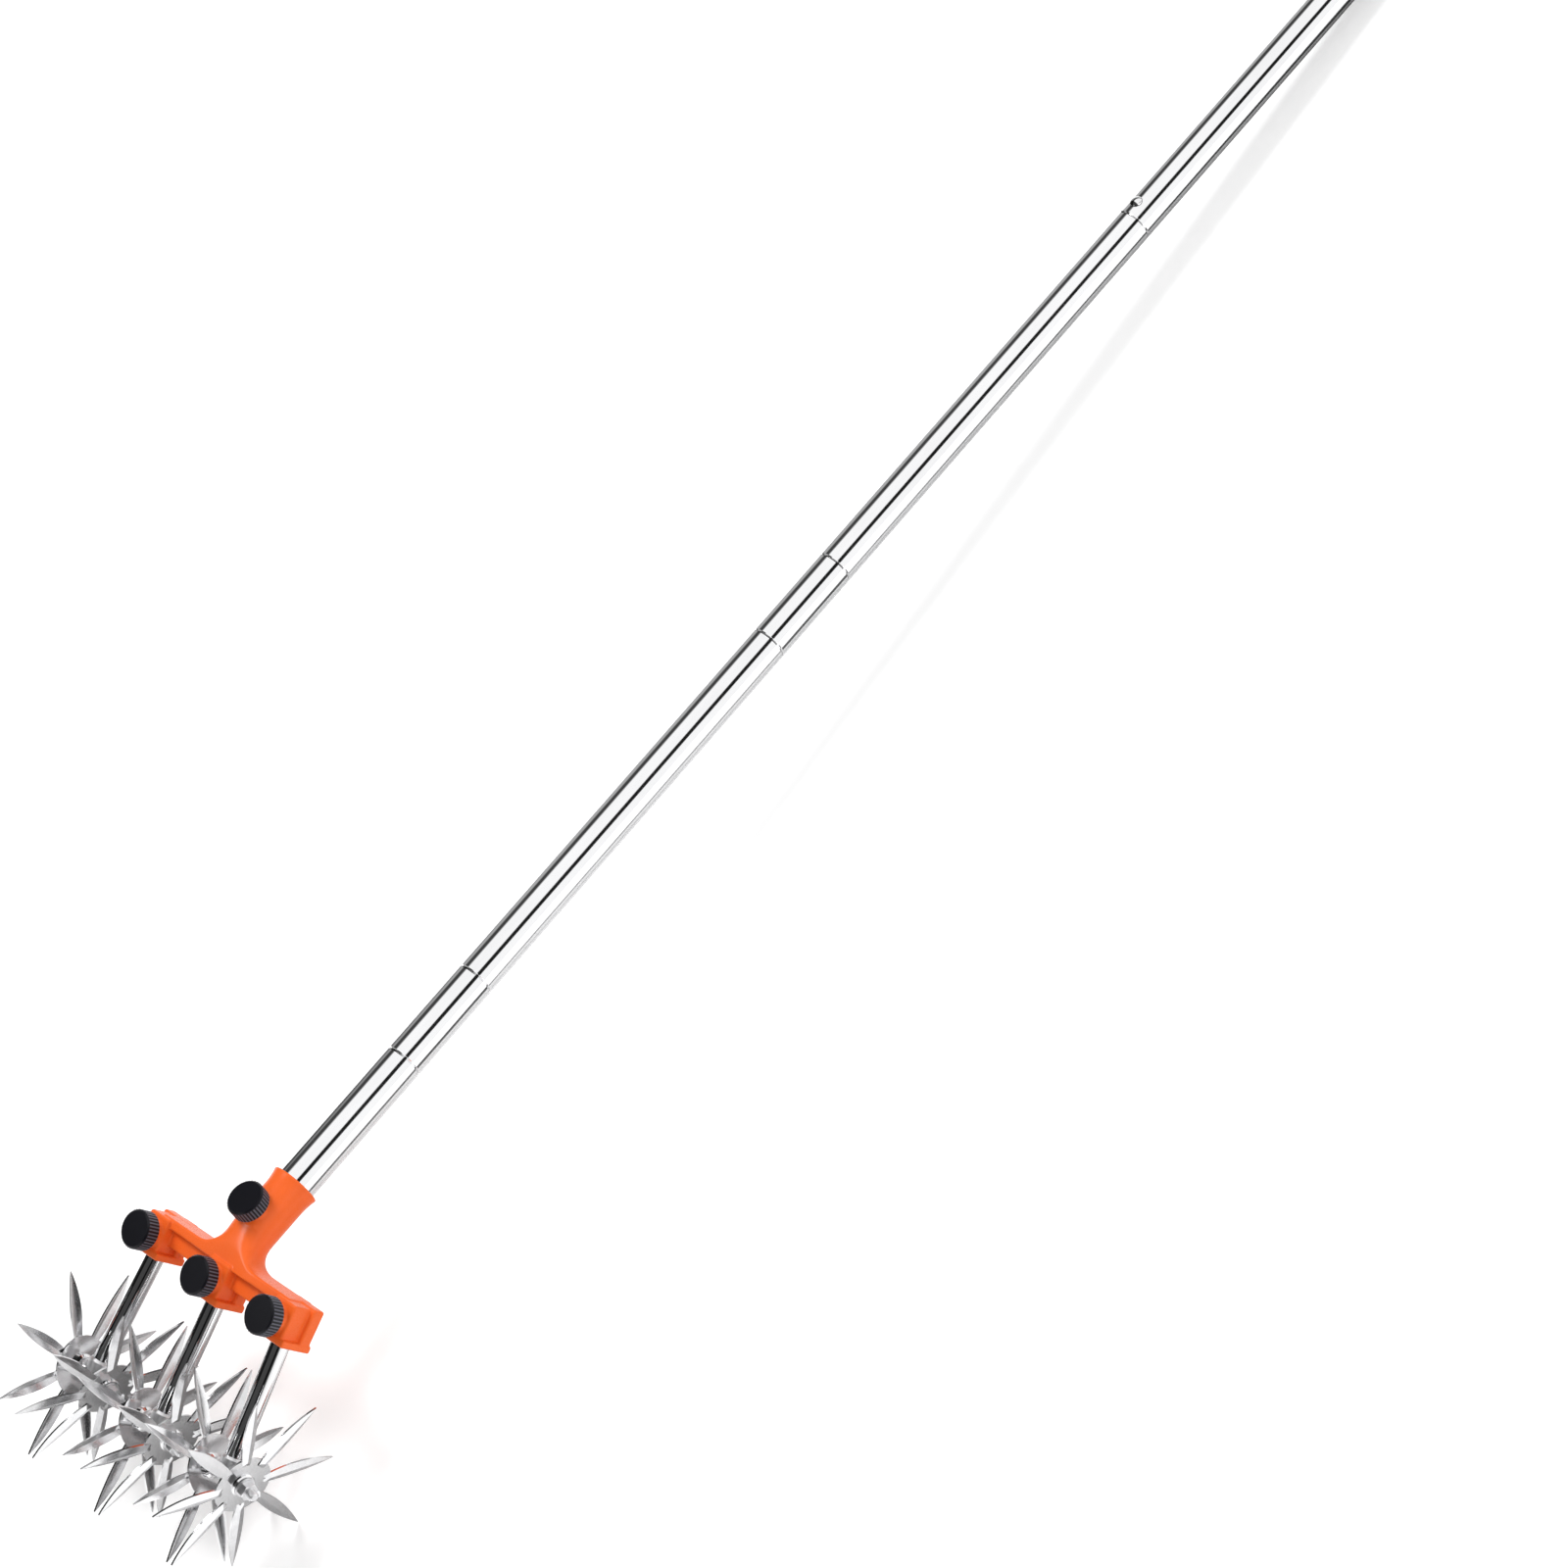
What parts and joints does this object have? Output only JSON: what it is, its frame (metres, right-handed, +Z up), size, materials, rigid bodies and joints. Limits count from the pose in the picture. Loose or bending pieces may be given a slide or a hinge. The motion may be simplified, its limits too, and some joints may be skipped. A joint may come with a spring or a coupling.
{
  "type": "rotary hand cultivator",
  "caption": "Long-handled hand cultivator: plug-together steel pole in a moulded head that clamps rods carrying spiked star wheels on drooping axles.",
  "frame": {"origin": "floor point under the middle of the tool as it lies on its wheels and pole end", "axes": "+Z up, +Y along the floor towards the far end of the pole, +X along the head bar"},
  "size_m": [0.1876, 1.3727, 0.1256],
  "materials": {
    "tube_steel": "satin polished",
    "bright_steel": "bright plated",
    "star_steel": "pressed and zinc plated",
    "orange_plastic": "moulded, half gloss",
    "black_plastic": "satin",
    "brass": "plain"
  },
  "bodies": {
    "head": {"head": "orange_plastic", "rod_inserts": "brass", "neck_insert": "brass"},
    "pole_1": {"pole_section_1": "tube_steel"},
    "pole_2": {"pole_section_2": "tube_steel", "coupling_1": "tube_steel"},
    "pole_3": {"pole_section_3": "tube_steel", "coupling_2": "tube_steel", "snap_spring": "bright_steel"},
    "pole_4": {"pole_section_4": "tube_steel", "pole_end_cap": "black_plastic"},
    "button": {"snap_button": "bright_steel"},
    "reel_left": {"rod_left": "bright_steel", "axle_left": "bright_steel", "inner_nuts_left": "bright_steel", "washers_left": "bright_steel", "lock_nuts_left": "bright_steel"},
    "star_left_a": {"star_left_a": "star_steel", "bush_left_a": "bright_steel"},
    "star_left_b": {"star_left_b": "star_steel", "bush_left_b": "bright_steel"},
    "stud_left": {"stud_left": "bright_steel"},
    "knob_left": {"knob_left": "black_plastic"},
    "reel_middle": {"rod_middle": "bright_steel", "axle_middle": "bright_steel", "inner_nuts_middle": "bright_steel", "washers_middle": "bright_steel", "lock_nuts_middle": "bright_steel"},
    "star_middle_a": {"star_middle_a": "star_steel", "bush_middle_a": "bright_steel"},
    "star_middle_b": {"star_middle_b": "star_steel", "bush_middle_b": "bright_steel"},
    "stud_middle": {"stud_middle": "bright_steel"},
    "knob_middle": {"knob_middle": "black_plastic"},
    "reel_right": {"rod_right": "bright_steel", "axle_right": "bright_steel", "inner_nuts_right": "bright_steel", "washers_right": "bright_steel", "lock_nuts_right": "bright_steel"},
    "star_right_a": {"star_right_a": "star_steel", "bush_right_a": "bright_steel"},
    "star_right_b": {"star_right_b": "star_steel", "bush_right_b": "bright_steel"},
    "stud_right": {"stud_right": "bright_steel"},
    "knob_right": {"knob_right": "black_plastic"},
    "stud_neck": {"stud_neck": "bright_steel"},
    "knob_neck": {"knob_neck": "black_plastic"}
  },
  "joints": [
    {"name": "pole_1_slide", "type": "slide", "parent": "head", "child": "pole_1", "axis": [0, 0.9974, -0.0725], "range_m": [0, 0.034]},
    {"name": "pole_2_pull", "type": "slide", "parent": "pole_1", "child": "pole_2", "axis": [0, 0.9974, -0.0725], "range_m": [0, 0.045]},
    {"name": "pole_3_pull", "type": "slide", "parent": "pole_2", "child": "pole_3", "axis": [0, 0.9974, -0.0725], "range_m": [0, 0.045]},
    {"name": "pole_4_pull", "type": "slide", "parent": "pole_3", "child": "pole_4", "axis": [0, 0.9974, -0.0725], "range_m": [0, 0.045], "deforming": ["snap_spring", "snap_button"]},
    {"name": "button_press", "type": "slide", "parent": "pole_3", "child": "button", "axis": [0, -0.0725, -0.9974], "range_m": [0, 0.003], "stiffness_N_per_m": 1500, "deforming": ["snap_spring"]},
    {"name": "rod_left_slide", "type": "slide", "parent": "head", "child": "reel_left", "axis": [-0.061, -0.9389, -0.3388], "range_m": [0, 0.018]},
    {"name": "star_left_a_spin", "type": "hinge", "parent": "reel_left", "child": "star_left_a", "pos_m": [-0.0802, -0.62068, 0.06173], "axis": [0.9848, 0.1633, 0.0589], "continuous": true},
    {"name": "star_left_b_spin", "type": "hinge", "parent": "reel_left", "child": "star_left_b", "pos_m": [-0.05186, -0.62231, 0.06114], "axis": [0.9563, -0.275, -0.0992], "continuous": true},
    {"name": "stud_left_screw", "type": "slide", "parent": "head", "child": "stud_left", "axis": [0, -0.3394, 0.9406], "range_m": [0, 0.004]},
    {"name": "knob_left_turn", "type": "hinge", "parent": "stud_left", "child": "knob_left", "pos_m": [-0.06021, -0.5387, 0.11257], "axis": [0, -0.3394, 0.9406], "range_deg": [0, 1440]},
    {"name": "rod_middle_slide", "type": "slide", "parent": "head", "child": "reel_middle", "axis": [0, -0.9406, -0.3394], "range_m": [0, 0.018]},
    {"name": "star_middle_a_spin", "type": "hinge", "parent": "reel_middle", "child": "star_middle_a", "pos_m": [-0.0142, -0.62408, 0.0605], "axis": [0.9724, 0.2196, 0.0792], "continuous": true},
    {"name": "star_middle_b_spin", "type": "hinge", "parent": "reel_middle", "child": "star_middle_b", "pos_m": [0.0142, -0.62408, 0.0605], "axis": [0.9724, -0.2196, -0.0792], "continuous": true},
    {"name": "stud_middle_screw", "type": "slide", "parent": "head", "child": "stud_middle", "axis": [0, -0.3394, 0.9406], "range_m": [0, 0.004]},
    {"name": "knob_middle_turn", "type": "hinge", "parent": "stud_middle", "child": "knob_middle", "pos_m": [0, -0.54113, 0.11169], "axis": [0, -0.3394, 0.9406], "range_deg": [0, 1440]},
    {"name": "rod_right_slide", "type": "slide", "parent": "head", "child": "reel_right", "axis": [0.061, -0.9389, -0.3388], "range_m": [0, 0.018]},
    {"name": "star_right_a_spin", "type": "hinge", "parent": "reel_right", "child": "star_right_a", "pos_m": [0.05186, -0.62231, 0.06114], "axis": [0.9563, 0.275, 0.0992], "continuous": true},
    {"name": "star_right_b_spin", "type": "hinge", "parent": "reel_right", "child": "star_right_b", "pos_m": [0.0802, -0.62068, 0.06173], "axis": [0.9848, -0.1633, -0.0589], "continuous": true},
    {"name": "stud_right_screw", "type": "slide", "parent": "head", "child": "stud_right", "axis": [0, -0.3394, 0.9406], "range_m": [0, 0.004]},
    {"name": "knob_right_turn", "type": "hinge", "parent": "stud_right", "child": "knob_right", "pos_m": [0.06021, -0.5387, 0.11257], "axis": [0, -0.3394, 0.9406], "range_deg": [0, 1440]},
    {"name": "stud_neck_screw", "type": "slide", "parent": "head", "child": "stud_neck", "axis": [0, 0.0725, 0.9974], "range_m": [0, 0.004]},
    {"name": "knob_neck_turn", "type": "hinge", "parent": "stud_neck", "child": "knob_neck", "pos_m": [0, -0.49086, 0.11927], "axis": [0, 0.0725, 0.9974], "range_deg": [0, 1440]}
  ],
  "couplings": [
    {"joint": "stud_left_screw", "follows": "knob_left_turn", "m_per_rad": 0.00015915},
    {"joint": "stud_middle_screw", "follows": "knob_middle_turn", "m_per_rad": 0.00015915},
    {"joint": "stud_right_screw", "follows": "knob_right_turn", "m_per_rad": 0.00015915},
    {"joint": "stud_neck_screw", "follows": "knob_neck_turn", "m_per_rad": 0.00015915}
  ]
}
